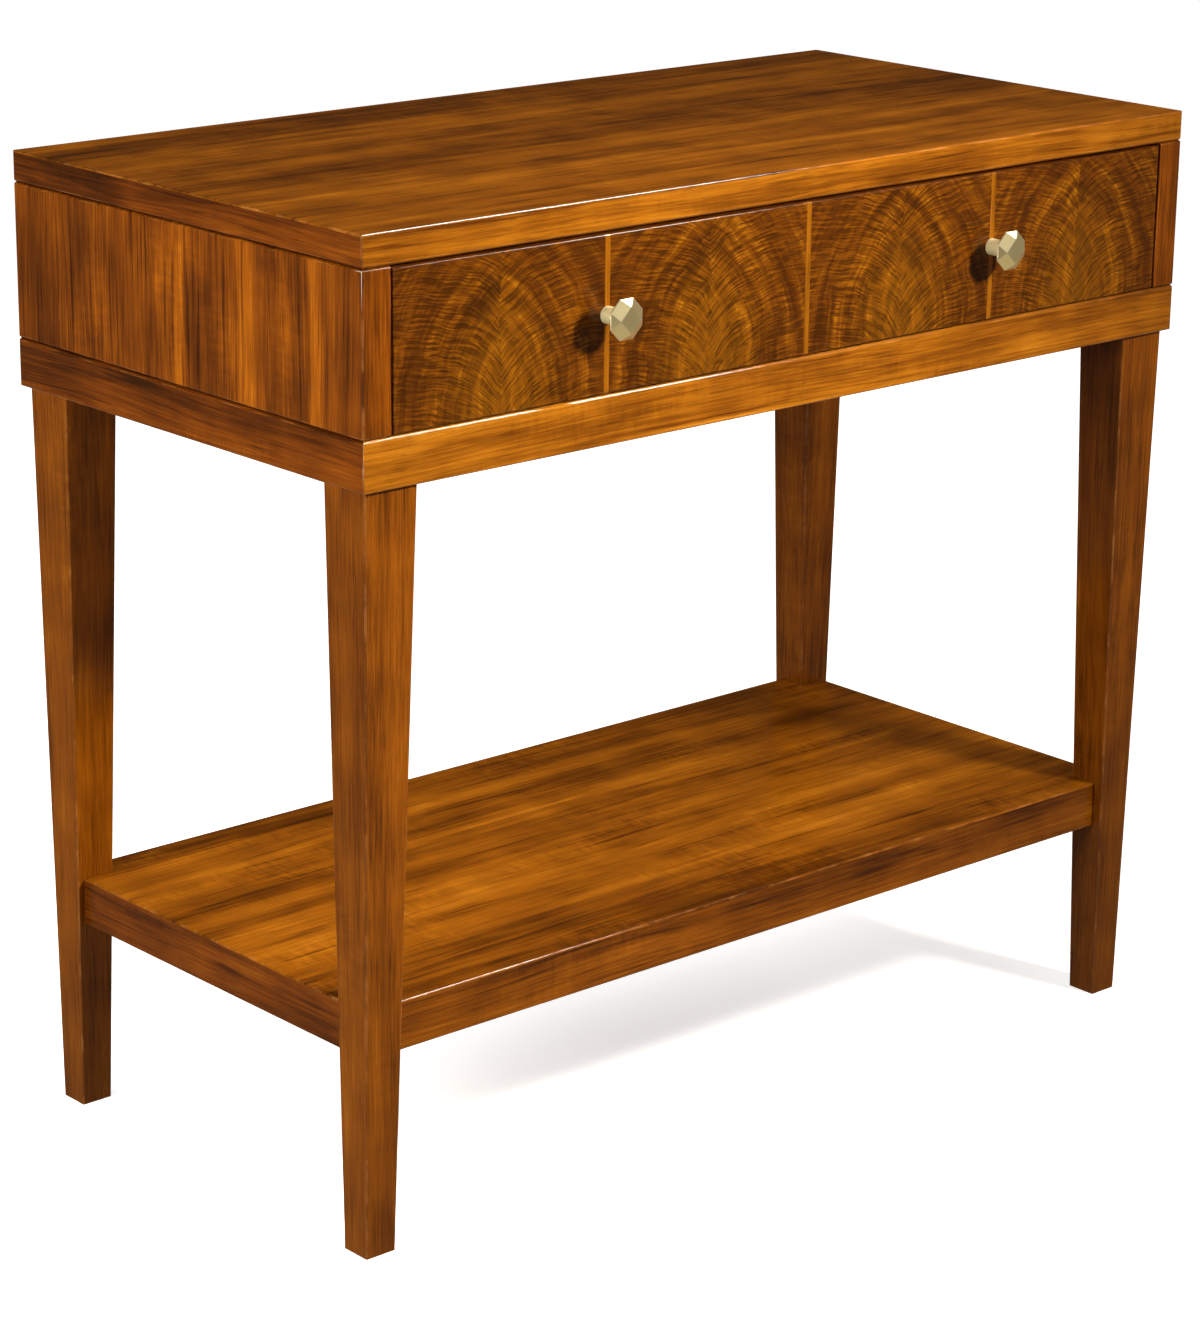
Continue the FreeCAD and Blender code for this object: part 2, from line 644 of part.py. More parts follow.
# ---- writing the parts ----
def build_parts():
    """Every part of the table, by name."""
    parts = {"top_veneer": top_veneer(), "top_core": top_core()}
    for side in SIDES:
        parts["top_lipping_" + side] = top_lipping(side)
        parts["base_rail_" + side] = base_rail(side)
        parts["shelf_lipping_" + side] = shelf_lipping(side)
    for corner in CORNERS:
        parts["leg_" + corner] = leg(corner)
    right_parts = {
        "side_panel": right_side_panel(), "front_stile": right_stile(), "runner": runner(),
        "kicker": kicker(), "drawer_side": drawer_side(), "knob": knob(),
    }
    for name, shape in right_parts.items():
        parts[name + "_right"] = shape
        parts[name + "_left"] = mirrored(shape)
    parts.update({
        "back_panel": back_panel(), "case_bottom": case_bottom(),
        "shelf_veneer": shelf_veneer(), "shelf_core": shelf_core(),
        "drawer_front_core": drawer_front_core(), "drawer_back": drawer_back(),
        "drawer_bottom": drawer_bottom(),
        "inlay_left": inlay(-INLAY_SPACING), "inlay_centre": inlay(0),
        "inlay_right": inlay(INLAY_SPACING),
    })
    half = INLAY_WIDTH / 2
    parts["drawer_veneer_outer_left"] = drawer_veneer(-DRAWER_HALF_WIDTH, -INLAY_SPACING - half)
    parts["drawer_veneer_inner_left"] = drawer_veneer(-INLAY_SPACING + half, -half)
    parts["drawer_veneer_inner_right"] = drawer_veneer(half, INLAY_SPACING - half)
    parts["drawer_veneer_outer_right"] = drawer_veneer(INLAY_SPACING + half, DRAWER_HALF_WIDTH)
    groups = {
        "base_corner_blocks": base_corner_blocks(), "drawer_stops": drawer_stops(),
        "case_dowels": case_dowels(), "shelf_dowels": shelf_dowels(), "leg_screws": leg_screws(),
        "top_screws": top_screws(), "drawer_bottom_screws": drawer_bottom_screws(),
        "knob_screws": knob_screws(),
    }
    for name, solids in groups.items():
        parts[name] = Part.makeCompound(solids)
    return parts


os.makedirs("parts", exist_ok=True)
for part_name, part_shape in build_parts().items():
    part_shape.exportStep("parts/" + part_name + ".step")
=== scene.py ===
import json
import math

import bmesh
import bpy
from mathutils import Euler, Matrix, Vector
from mathutils.bvhtree import BVHTree


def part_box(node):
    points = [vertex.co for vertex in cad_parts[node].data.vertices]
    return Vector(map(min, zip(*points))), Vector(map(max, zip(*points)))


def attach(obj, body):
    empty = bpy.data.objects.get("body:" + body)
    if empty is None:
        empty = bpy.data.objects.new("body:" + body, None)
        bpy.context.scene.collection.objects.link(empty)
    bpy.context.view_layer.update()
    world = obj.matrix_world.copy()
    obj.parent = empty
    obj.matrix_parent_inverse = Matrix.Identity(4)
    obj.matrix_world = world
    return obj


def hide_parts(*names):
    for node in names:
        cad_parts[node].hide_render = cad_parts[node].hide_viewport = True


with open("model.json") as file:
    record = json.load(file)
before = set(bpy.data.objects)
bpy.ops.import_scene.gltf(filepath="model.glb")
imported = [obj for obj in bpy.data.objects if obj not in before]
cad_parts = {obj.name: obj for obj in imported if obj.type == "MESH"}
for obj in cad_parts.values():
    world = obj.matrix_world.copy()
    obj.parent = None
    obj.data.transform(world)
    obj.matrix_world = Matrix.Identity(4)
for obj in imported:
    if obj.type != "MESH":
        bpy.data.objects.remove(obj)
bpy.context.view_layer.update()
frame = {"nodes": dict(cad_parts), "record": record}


NODES = frame["nodes"]
BODIES = frame["record"]["behaviour"]["bodies"]
BODY_OF = {node: body for body, members in BODIES.items() for node in members}

# ---- where things are, from the frame, in metres ----
TOP_LOW, TOP_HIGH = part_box("top_veneer")
SIDE_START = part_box("front_stile_left")[0].y
SIDE_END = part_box("side_panel_left")[1].y
STEM_LENGTH = 0.012
STEM_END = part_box("drawer_veneer_outer_left")[0].y - STEM_LENGTH

# ---- camera: metres, degrees and millimetres ----
CAMERA_PLACE = (-1.926, -2.1265, 1.218)
CAMERA_TURN = (72.508, -0.655, -41.583)
LENS = 103.4
SENSOR = 36.0

# ---- lights: place, point aimed at, size in metres, power in watts, colour, spread in degrees ----
WARM_WHITE = (1.0, 0.96, 0.90)
COOL_WHITE = (0.97, 0.98, 1.0)
WIDE_OPEN = 180.0
LIGHTS = {
    "key": ((0.62, -1.20, 1.22), (-1.00, 0.10, 0.10), (0.20, 0.20), 16.5, WARM_WHITE, 88.0),
    "left": ((-1.80, -0.22, 0.92), (-0.30, 0.00, 0.50), (0.90, 0.50), 34.0, WARM_WHITE, WIDE_OPEN),
    "overhead": ((0.10, -0.10, 2.60), (0.1, -0.1, 0.0), (1.8, 1.2), 19.0, WARM_WHITE, WIDE_OPEN),
    "back": ((-0.60, 1.90, 2.10), (0.0, 0.1, 0.5), (1.6, 1.0), 40.0, COOL_WHITE, WIDE_OPEN),
    "front": ((-0.20, -2.20, 1.90), (-0.20, -0.20, 0.66), (1.40, 0.80), 4.0, WARM_WHITE, WIDE_OPEN),
    "right": ((2.40, -0.20, 1.30), (0.3, 0.0, 0.5), (1.2, 1.0), 13.0, WARM_WHITE, WIDE_OPEN),
    "glint": ((1.62, -0.96, 2.98), (-0.2, -0.19, 0.737), (0.40, 0.80), 80.0, WARM_WHITE, WIDE_OPEN),
}
# lamps that light without being mirrored, and the one that is only mirrored, in narrow edges
UNSEEN_IN_GLOSS = ("key", "back", "overhead", "right")
ONLY_IN_GLOSS = ("glint",)

# ---- surroundings ----
SKY = 0.03
GROUND_GLOW = 0.55
GROUND_DIP = -0.90
HORIZON = 0.05
WORLD_TINT = (1.0, 0.85, 0.60, 1.0)
WHITE = (1.0, 1.0, 1.0, 1.0)
FLOOR_SIZE = 14.0
FLOOR_SIDES = 96
DOME_SHARE = 0.99
DOME_SPLITS = 4
FLOOR_ALBEDO = 0.80
FLOOR_GLOW = 0.68
BACKDROP = 0.98
NEAR_FLOOR = 0.7
FAR_FLOOR = 2.6
STAGE_ROUGH = 0.9
SPECK_SIZE = 0.35
SPECK_SPAN = (0.3, 0.7)
SPECK_SHADE = 0.985

# ---- rounding of edges, in metres ----
ROUND_WOOD = 0.00035
ROUND_BRASS = 0.00028
ROUND_STEPS = 2
ROUND_PROFILE = 0.5
TOUCH = 0.00004
WELD = 0.000002
SLIVER = 0.000004
FLAT_ANGLE = math.radians(0.4)
CORNER_ANGLE = math.radians(25)
CRISP_ANGLE = math.radians(46)
NARROW_FACE = 0.0011
SHORTEST_WOOD = 0.004
SHORTEST_BRASS = 0.0025
EDGE_SAMPLES = (0.2, 0.5, 0.8)
NORMAL_WEIGHT = 80


def to_linear(value):
    """One 0-255 display value as a linear value."""
    value /= 255.0
    if value <= 0.04045:
        return value / 12.92
    return ((value + 0.055) / 1.055) ** 2.4


def colour(red, green, blue):
    """A display colour as a linear RGBA colour."""
    return (to_linear(red), to_linear(green), to_linear(blue), 1.0)


# ---- noise ----
HALF = 0.5
PLAIN = 0.5
SHIFT_SPREAD = (1.0, 1.7, 2.3)
# wood: length along the grain and width across it in metres, detail, roughness, shift
WOOD_LAYERS = {
    "sway": (0.30, 0.10, 1.0, PLAIN, 0.0),
    "wide": (0.55, 0.040, 2.0, PLAIN, 0.0),
    "mid": (0.22, 0.010, 3.0, 0.55, 3.1),
    "thin": (0.11, 0.0030, 3.0, 0.65, 4.6),
    "fibre": (0.06, 0.0013, 2.0, 0.6, 7.7),
    "mottle": (0.05, 0.05, 2.0, PLAIN, 11.3),
    "streak": (0.14, 0.0042, 2.0, PLAIN, 5.9),
    "bars": (0.0048, 0.016, 2.0, PLAIN, 2.2),
    "rippled": (0.16, 0.05, 1.0, PLAIN, 8.4),
    "pore": (0.011, 0.00042, 1.0, PLAIN, 13.0),
    "patch": (0.020, 0.020, 3.0, PLAIN, 17.0),
    "wave": (0.018, 0.018, 2.0, PLAIN, 19.0),
}
# feather-figured veneer: size along each axis in metres, detail, roughness, shift for each seed, shift
CROTCH_LAYERS = {
    "drift": ((0.028, 1.0, 0.028), 2.0, PLAIN, 0.0, 0.0),
    "steps": ((0.0042, 1.0, 0.022), 2.0, 0.6, 3.3, 0.0),
    "bands": ((0.011, 1.0, 0.050), 2.0, PLAIN, 1.9, 40.0),
    "line": ((0.0017, 0.026, 0.012), 1.0, PLAIN, 1.0, 9.0),
    "thread": ((0.0008, 0.012, 0.008), 1.0, PLAIN, 1.0, 21.0),
    "strength": ((0.0075, 1.0, 0.016), 2.0, PLAIN, 1.0, 31.0),
    "knot": ((0.012, 1.0, 0.008), 1.0, PLAIN, 0.0, 27.0),
}

# ---- wood: weights of the layers, and where each one starts and ends to show ----
WOOD_SEED_STEP = (0.37, 0.53, 0.71)
THIN_SHARE = 1.1
FIBRE_WEIGHT = 0.7
MOTTLE_WEIGHT = 0.5
STREAK_SPAN = (0.58, 0.70)
RIPPLED_SPAN = (0.50, 0.66)
BAR_LEVEL = 0.45
RIPPLE_GAIN = 3
PORE_SPAN = (0.62, 0.74)
PORE_SHARE = 0.40
PORE_COLOUR = colour(48, 22, 6)
# edges painted lighter in patches: partly rubbed wear, partly a painted highlight on the arrises
WEAR_AND_HIGHLIGHT_SPAN = (0.45, 0.72)
WEAR_AND_HIGHLIGHT = 0.26
WORN_HIGHLIGHT_COLOUR = colour(196, 130, 66)
FIBRE_RELIEF = 0.5
PORE_RELIEF = 0.6
WOOD_ROUGH = 0.46
FIBRE_ROUGH = 0.25
MOTTLE_ROUGH = 0.15

# ---- lacquer ----
LACQUER = 0.42
THICK_LACQUER = 1.0
COAT_ROUGH = 0.10
COAT_IOR = 1.48
COAT_RELIEF = 0.05
COAT_DEPTH = 0.00022
GROUND_SPECULAR = 0.03
GRAIN_DEPTH = 0.00012

# ---- feather figure: lengths in metres, then weights and spans ----
CROTCH_SEED_STEP = (0.41, 0.29, 0.83)
CROTCH_SEED_STRIDE = 2.3
DRIFT_ACROSS = 0.012
DRIFT_UP = 0.007
FALL_LENGTH = -0.034
REACH = 0.050
REACH_SLOPE = -0.22
ARCH_CENTRE = 0.055
TURN_LENGTH = 0.06
SLIP = 0.0012
ARCH_STRETCH = 0.3
STRENGTH_SPAN = (0.36, 0.58, 0.35, 1.0)
LINE_SPAN = (0.46, 0.56)
BAND_WEIGHT = 1.3
STEP_WEIGHT = 1.1
THREAD_WEIGHT = 0.9
LINE_WEIGHT = -0.6
NEAR_SPAN = (0.060, 0.125, 1.0, 0.0)
FAR_SPAN = (0.095, 0.155)
TINT_SHARE = 0.35
LINE_SHARE = 0.56
KNOT_SPAN = (0.66, 0.78)
KNOT_SHARE = 0.55
CROTCH_ROUGH = 0.44
LINE_ROUGH = 0.20
STEP_ROUGH = 0.15
THREAD_RELIEF = 0.4
LINE_RELIEF = 0.4
CROTCH_GROUND = [(0.0, colour(43, 18, 1)), (0.30, colour(65, 31, 2)), (0.52, colour(86, 44, 3)),
                 (0.76, colour(105, 57, 4)), (1.0, colour(138, 84, 10))]
CROTCH_GOLD = colour(122, 74, 7)
CROTCH_RED = colour(80, 37, 3)
CROTCH_DARK = colour(42, 18, 1)

# ---- brass ----
BRUSH_SIZE = (0.0060, 0.0008, 0.0008)
TARNISH_SIZE = (0.009, 0.009, 0.009)
BRUSH_TONE = 0.12
TARNISH_TONE = 0.3
BRASS_TONES = [(0.0, colour(218, 196, 134)), (0.5, colour(236, 220, 166)), (1.0, colour(248, 238, 200))]
# facet edges painted paler: a painted highlight
EDGE_HIGHLIGHT_SHARE = 0.6
EDGE_HIGHLIGHT_COLOUR = colour(244, 238, 210)
# the stem's pale cream: a painted sheen
STEM_SHEEN_COLOUR = colour(254, 242, 186)
STEM_FADE = 0.001
STEM_DULLER = 0.08
STEM_METAL = -0.5
BRASS_METAL = 0.93
BRASS_ROUGH = 0.35
BRUSH_ROUGH = 0.04
TARNISH_ROUGH = 0.08
BRUSH_DEPTH = 0.000005

# ---- steel ----
CLOUD_SIZE = (0.004, 0.004, 0.004)
STEEL_TONES = [(0.3, colour(128, 126, 120)), (0.7, colour(192, 190, 182))]
STEEL_ROUGH = 0.38
CLOUD_ROUGH = 0.5
CLOUD_DEPTH = 0.00004

# ---- wood colours ----
PALETTES = {
    "top": [(0.00, colour(50, 22, 2)), (0.28, colour(86, 43, 3)), (0.50, colour(117, 63, 6)),
            (0.72, colour(140, 79, 9)), (1.00, colour(174, 106, 22))],
    # lighter copy of the edge wood for the front edges and front base rail: painted light
    "front": [(0.00, colour(76, 36, 3)), (0.28, colour(110, 60, 6)), (0.50, colour(136, 79, 11)),
              (0.72, colour(155, 94, 17)), (1.00, colour(189, 130, 42))],
    "side": [(0.00, colour(50, 20, 1)), (0.28, colour(84, 39, 3)), (0.50, colour(114, 57, 5)),
             (0.72, colour(146, 78, 8)), (1.00, colour(202, 124, 24))],
    # darker copy of the edge wood for the side edges, the shelf's short edges and the drawer front's core:
    # painted shade
    "dark": [(0.00, colour(44, 18, 1)), (0.28, colour(74, 33, 3)), (0.50, colour(100, 48, 5)),
             (0.72, colour(120, 61, 7)), (1.00, colour(152, 85, 16))],
    "leg": [(0.00, colour(48, 21, 2)), (0.28, colour(83, 40, 4)), (0.50, colour(110, 57, 6)),
            (0.72, colour(129, 70, 9)), (1.00, colour(160, 96, 22))],
    "inlay": [(0.00, colour(92, 50, 4)), (0.50, colour(126, 73, 7)), (1.00, colour(150, 93, 16))],
    "box": [(0.00, colour(112, 76, 40)), (0.50, colour(166, 126, 78)), (1.00, colour(200, 164, 114))],
}
# painted light and shade: tone added at the low end and at the high end of each side's top edge and base
# rail, so each is lighter or darker along its length as the light falls on it
PAINTED_LIGHT_SLOPES = {
    "front": ((-0.24, 0.10), (-0.03, -0.20)),
    "back": ((0.0, 0.0), (0.0, 0.0)),
    "left": ((-0.10, -0.28), (0.11, -0.06)),
    "right": ((-0.10, -0.20), (0.0, -0.10)),
}
# tone of the boards from front to back, as (share of the way, tone)
SIDE_TONES = [(0.0, 0.37), (0.10, 0.38), (0.13, 0.52), (0.16, 0.34), (0.24, 0.38), (0.28, 0.60),
              (0.31, 0.82), (0.35, 0.58), (0.42, 0.45), (0.50, 0.43), (0.60, 0.38), (0.665, 0.41),
              (0.675, 0.34), (0.80, 0.32), (0.90, 0.35), (1.0, 0.45)]
TOP_TONES = [(0.0, 0.57), (0.132, 0.55), (0.140, 0.47), (0.30, 0.48), (0.44, 0.47), (0.47, 0.41),
             (0.66, 0.40), (0.68, 0.47), (0.80, 0.46), (0.90, 0.41), (1.0, 0.37)]

# ---- which piece gets which wood: palette, side's seed, and the seeds' steps ----
# the front takes the lighter palette and the sides the darker one: painted light and painted shade
SIDES = (("front", "front", 3.0), ("back", "leg", 4.0), ("left", "dark", 5.0), ("right", "dark", 6.0))
LONG_SIDES = ("front", "back")
BASE_SEED = 20
SHELF_SEED = 40
LEGS = ("front_left", "front_right", "back_left", "back_right")
LEG_SEED = 11.0
LEG_SEED_STRIDE = 2.7
LEG_GRAIN = {"scale": 0.7, "broad": 0.7, "medium": 0.36, "lines": 0.10}
SIDE_GRAIN = {"scale": 0.85, "broad": 0.8, "medium": 0.42, "lines": 0.26}
TOP_GRAIN = {"broad": 0.95, "medium": 0.5}
SHELF_GRAIN = {"broad": 1.3, "medium": 0.45, "ripple": 0.16}
BACK_GRAIN = {"scale": 0.9}
INLAY_GRAIN = {"broad": 0.3, "medium": 0.5, "lines": 0.2, "ripple": 0.0}
INLAY_SEED = 30.0
BOX_GRAIN = {"lacquer": 0.15, "lines": 0.3}
PLY_GRAIN = {"broad": 2.0, "medium": 0.8, "lacquer": 0.1}
THIN_LACQUER = {"lacquer": 0.3}
SEALED = {"lacquer": 0.1}
BARE = {"lacquer": 0.0}
PANELS = ("outer_left", "inner_left", "inner_right", "outer_right")
RUNNING_PIECES = ("runner_left", "runner_right", "kicker_left", "kicker_right", "drawer_stops",
                  "base_corner_blocks")
SCREWS = ("leg_screws", "top_screws", "drawer_bottom_screws", "knob_screws")
DOWELS = ("case_dowels", "shelf_dowels")


# ---- small node graph helper ----
class Graph:
    """A node material, built by calls that return output sockets."""

    def __init__(self, name):
        self.material = bpy.data.materials.new(name)
        self.material.use_nodes = True
        self.tree = self.material.node_tree
        self.tree.nodes.clear()
        self.output = self.tree.nodes.new("ShaderNodeOutputMaterial")
        self.shader = self.tree.nodes.new("ShaderNodeBsdfPrincipled")
        self.tree.links.new(self.shader.outputs["BSDF"], self.output.inputs["Surface"])

    def feed(self, socket, value):
        """Sets a socket to a constant, or links it to another socket."""
        if isinstance(value, bpy.types.NodeSocket):
            self.tree.links.new(value, socket)
        else:
            socket.default_value = value

    def make(self, kind, settings=None, **inputs):
        """A node with its settings and its inputs by name."""
        node = self.tree.nodes.new(kind)
        for key, value in (settings or {}).items():
            setattr(node, key, value)
        for key, value in inputs.items():
            self.feed(node.inputs[key.replace("_", " ")], value)
        return node

    def math(self, operation, *values):
        """A scalar operation."""
        node = self.tree.nodes.new("ShaderNodeMath")
        node.operation = operation
        for socket, value in zip(node.inputs, values):
            self.feed(socket, value)
        return node.outputs[0]

    def vector(self, operation, *values):
        """A vector operation."""
        node = self.tree.nodes.new("ShaderNodeVectorMath")
        node.operation = operation
        for socket, value in zip(node.inputs, values):
            self.feed(socket, value)
        return node.outputs[0]

    def join(self, x, y, z):
        """Three values as one vector."""
        return self.make("ShaderNodeCombineXYZ", X=x, Y=y, Z=z).outputs[0]

    def split(self, vector):
        """A vector as three values."""
        return self.make("ShaderNodeSeparateXYZ", Vector=vector).outputs

    def place(self):
        """The point's place in the row frame at rest."""
        return self.tree.nodes.new("ShaderNodeTexCoord").outputs["Object"]

    def seeded(self, seed, step):
        """The point's place, moved to another part of the noise for each seed."""
        return self.vector("ADD", self.place(), tuple(seed * length for length in step))

    def edge(self):
        """1 on narrow faces and 0 elsewhere."""
        return self.make("ShaderNodeAttribute", {"attribute_name": "edge"}).outputs["Fac"]

    def noise(self, vector, periods, detail=2.0, roughness=PLAIN, shift=0.0):
        """Soft noise whose features have the given length, in metres, along each axis."""
        rate = tuple(1.0 / period for period in periods)
        offset = tuple(shift * spread for spread in SHIFT_SPREAD)
        spot = self.vector("MULTIPLY_ADD", vector, rate, offset)
        return self.make("ShaderNodeTexNoise", Vector=spot, Scale=1.0, Detail=detail, Roughness=roughness)

    def grey(self, *arguments, **options):
        """Soft noise as one value near 0.5."""
        return self.noise(*arguments, **options).outputs[0]

    def grain(self, name, vector, axis="X", scale=1.0):
        """One of the wood's layers, as one value near 0.5."""
        length, width, detail, roughness, shift = WOOD_LAYERS[name]
        return self.grey(vector, along(axis, length * scale, width * scale), detail, roughness, shift)

    def figure(self, name, vector, seed):
        """One of the feather figure's layers, as one value near 0.5."""
        periods, detail, roughness, seed_shift, shift = CROTCH_LAYERS[name]
        return self.grey(vector, periods, detail, roughness, seed * seed_shift + shift)

    def span(self, value, low, high, new_low=0.0, new_high=1.0):
        """A value carried smoothly from one range to another, and held at its ends."""
        node = self.make("ShaderNodeMapRange", {"interpolation_type": "SMOOTHSTEP"}, Value=value)
        for key, number in (("From Min", low), ("From Max", high), ("To Min", new_low), ("To Max", new_high)):
            node.inputs[key].default_value = number
        return node.outputs[0]

    def ramp(self, value, stops):
        """A colour ramp from (position, colour) stops."""
        node = self.make("ShaderNodeValToRGB", Fac=value)
        elements = node.color_ramp.elements
        while len(elements) < len(stops):
            elements.new(HALF)
        for element, (position, shade) in zip(elements, stops):
            element.position = position
            element.color = shade
        return node.outputs[0]

    def blend(self, share, first, second):
        """Two colours mixed."""
        node = self.tree.nodes.new("ShaderNodeMix")
        node.data_type = "RGBA"
        factor, first_colour, second_colour = (node.inputs[index] for index in (0, 6, 7))
        self.feed(factor, share)
        self.feed(first_colour, first)
        self.feed(second_colour, second)
        return node.outputs[2]

    def weighted(self, start, *terms):
        """start plus each weight times (value - 0.5)."""
        total = start
        for weight, value in terms:
            centred = self.math("SUBTRACT", value, HALF)
            total = self.math("MULTIPLY_ADD", centred, weight, total)
        return total

    def bump(self, height, distance):
        """A normal from a height in units of distance."""
        node = self.make("ShaderNodeBump", Height=height)
        node.inputs["Distance"].default_value = distance
        node.inputs["Strength"].default_value = 1.0
        return node.outputs[0]

    def finish(self, **inputs):
        """Feeds the shader and gives the material back."""
        for key, value in inputs.items():
            self.feed(self.shader.inputs[key.replace("_", " ")], value)
        return self.material


def along(axis, length, width):
    """Periods with one length along the grain's axis and another across it."""
    return tuple(length if name == axis else width for name in "XYZ")


# ---- finishes ----
def wood(name, palette, axis, seed, broad=1.15, medium=0.6, lines=0.22, ripple=0.08,
         scale=1.0, boards=None, painted_light_slope=None, lacquer=LACQUER):
    """Straight-grained wood under lacquer: bands, streaks, fibres, pores and a faint ripple."""
    g = Graph(name)
    start = g.seeded(seed, WOOD_SEED_STEP)
    spot = swayed(g, start, axis)
    wide = g.grain("wide", spot, axis, scale)
    mid = g.grain("mid", spot, axis, scale)
    thin = g.grain("thin", spot, axis, scale)
    fibre = g.grain("fibre", spot, axis)
    mottle = g.grain("mottle", start)
    tone = g.weighted(HALF, (broad, wide), (medium, mid), (medium * THIN_SHARE, thin),
                      (FIBRE_WEIGHT, fibre), (MOTTLE_WEIGHT, mottle))
    streak = g.span(g.grain("streak", spot, axis), *STREAK_SPAN)
    tone = g.math("SUBTRACT", tone, g.math("MULTIPLY", streak, lines))
    tone = g.math("ADD", tone, rippled(g, start, spot, axis, ripple))
    if boards:
        tone = boards(g, tone)
    # a painted light-and-shade ramp along the piece
    if painted_light_slope:
        index = "XYZ".index(axis)
        painted_light_rise = g.span(g.split(g.place())[index], TOP_LOW[index], TOP_HIGH[index], *painted_light_slope)
        tone = g.math("ADD", tone, painted_light_rise)
    pore = g.span(g.grain("pore", spot, axis), *PORE_SPAN)
    shade = g.blend(g.math("MULTIPLY", pore, PORE_SHARE), g.ramp(tone, PALETTES[palette]), PORE_COLOUR)
    # edges painted lighter: partly wear, partly a painted highlight
    shade = worn_and_highlit(g, shade, start)
    relief = g.math("SUBTRACT", g.math("MULTIPLY", fibre, FIBRE_RELIEF),
                    g.math("MULTIPLY", pore, PORE_RELIEF))
    rough = g.weighted(WOOD_ROUGH, (FIBRE_ROUGH, fibre), (MOTTLE_ROUGH, mottle))
    return lacquered(g, shade, rough, relief, start, lacquer, THICK_LACQUER)


def swayed(g, start, axis, wobble=0.012):
    """The spot moved a little across the grain, so that no line runs quite straight."""
    length, width, detail, roughness, shift = WOOD_LAYERS["sway"]
    sway = g.noise(start, along(axis, length, width), detail, roughness, shift).outputs["Color"]
    sway = g.vector("SUBTRACT", sway, (HALF, HALF, HALF))
    return g.vector("ADD", start, g.vector("MULTIPLY", sway, along(axis, 0.0, wobble)))


def rippled(g, start, spot, axis, ripple):
    """Short bars across the grain, in patches."""
    bars = g.math("SUBTRACT", g.grain("bars", spot, axis), BAR_LEVEL)
    where = g.span(g.grain("rippled", start, axis), *RIPPLED_SPAN)
    return g.math("MULTIPLY", g.math("MULTIPLY", bars, where), ripple * RIPPLE_GAIN)


def worn_and_highlit(g, shade, spot):
    """Edges painted a little lighter, in patches: partly rubbed wear and partly a painted highlight along the
    arrises.
    """
    patch = g.span(g.grain("patch", spot), *WEAR_AND_HIGHLIGHT_SPAN)
    share = g.math("MULTIPLY", g.edge(), g.math("MULTIPLY", patch, WEAR_AND_HIGHLIGHT))
    return g.blend(share, shade, WORN_HIGHLIGHT_COLOUR)


def lacquered(g, shade, rough, relief, spot, lacquer, on_edges):
    """Lacquer over a coloured ground, with a faint waviness."""
    wave = g.grain("wave", spot)
    coat = g.math("MULTIPLY_ADD", g.edge(), on_edges - lacquer, lacquer)
    return g.finish(
        Base_Color=shade, Roughness=rough, Specular_IOR_Level=GROUND_SPECULAR,
        Normal=g.bump(relief, GRAIN_DEPTH), Coat_Weight=coat,
        Coat_Roughness=COAT_ROUGH, Coat_IOR=COAT_IOR,
        Coat_Normal=g.bump(g.weighted(0.0, (1.0, wave), (COAT_RELIEF, relief)), COAT_DEPTH),
    )


def boards_between(g, tone, start, end, steps):
    """Tonal steps of a sheet from its front to its back."""
    y = g.split(g.place())[1]
    share = g.math("DIVIDE", g.math("SUBTRACT", y, start), end - start)
    step = g.ramp(share, [(place, (grey, grey, grey, 1.0)) for place, grey in steps])
    return g.math("ADD", tone, g.math("SUBTRACT", step, HALF))


def side_boards(g, tone):
    """The side's boards, with two light streaks."""
    return boards_between(g, tone, SIDE_START, SIDE_END, SIDE_TONES)


def top_boards(g, tone):
    """The top's boards, lighter towards the front."""
    return boards_between(g, tone, TOP_LOW.y, TOP_HIGH.y, TOP_TONES)


